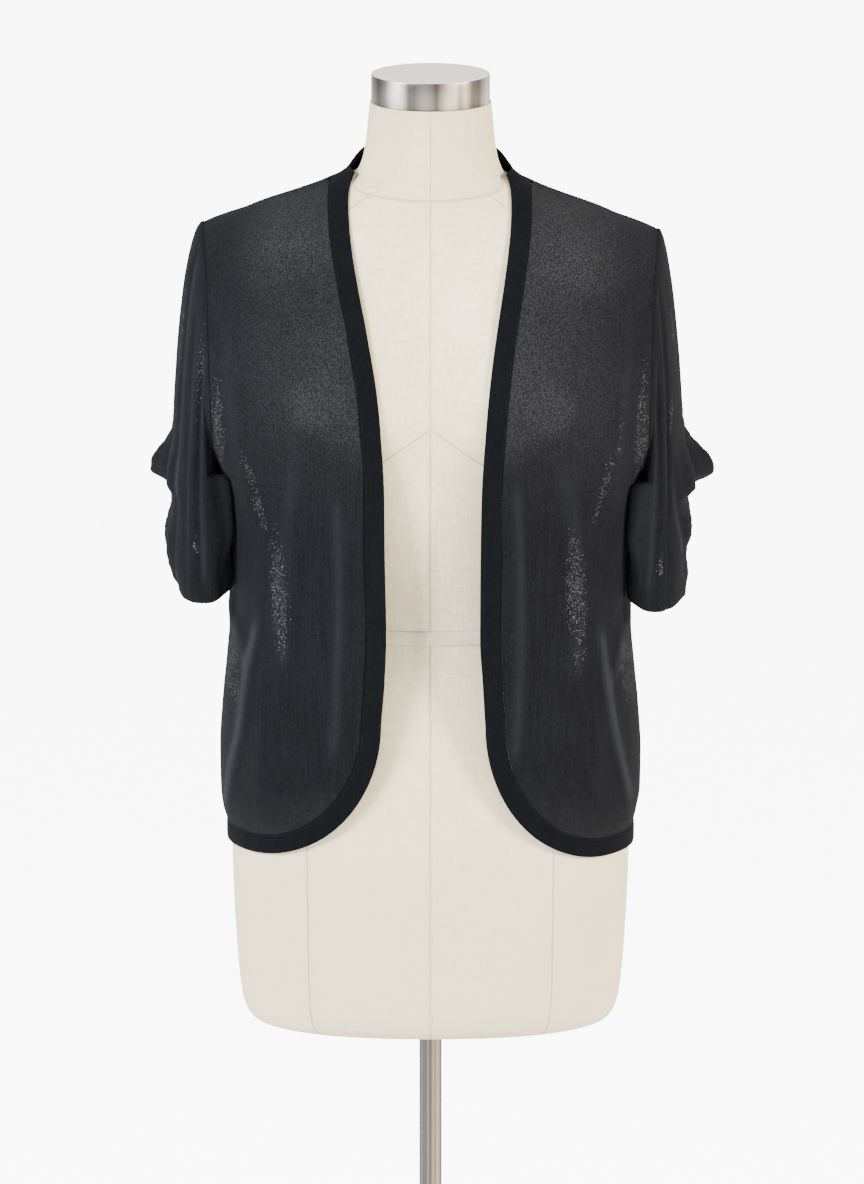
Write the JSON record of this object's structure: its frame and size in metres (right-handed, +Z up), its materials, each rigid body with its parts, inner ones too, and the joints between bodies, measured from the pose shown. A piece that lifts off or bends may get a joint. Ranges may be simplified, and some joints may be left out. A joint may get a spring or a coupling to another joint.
{
  "type": "knitted shrug on a dress form with a stand",
  "caption": "Cropped open-front knitted shrug with short gathered sleeves and a rounded band, worn by a limbless dress form on a steel pole and round foot plate.",
  "frame": {"origin": "middle of the foot plate's underside, on the floor", "axes": "+Z up along the pole, -Y to the front of the shrug, +X to the wearer's left"},
  "size_m": [0.5204, 0.36, 1.5738],
  "materials": {
    "knit": "fine dark navy knit, matt, slightly sheer",
    "band_knit": "doubled dark navy knit, matt",
    "form_linen": "cream linen cover, plain weave",
    "waist_tape_linen": "narrow cream tape",
    "steel": "brushed"
  },
  "bodies": {
    "root": {"back": "knit", "front_left": "knit", "front_right": "knit", "sleeve_left": "knit", "sleeve_right": "knit", "band_left": "band_knit", "band_right": "band_knit", "hem_band_back": "band_knit", "form_torso": "form_linen", "waist_tape": "waist_tape_linen", "neck_cap": "steel", "pole": "steel", "base": "steel"}
  },
  "joints": []
}
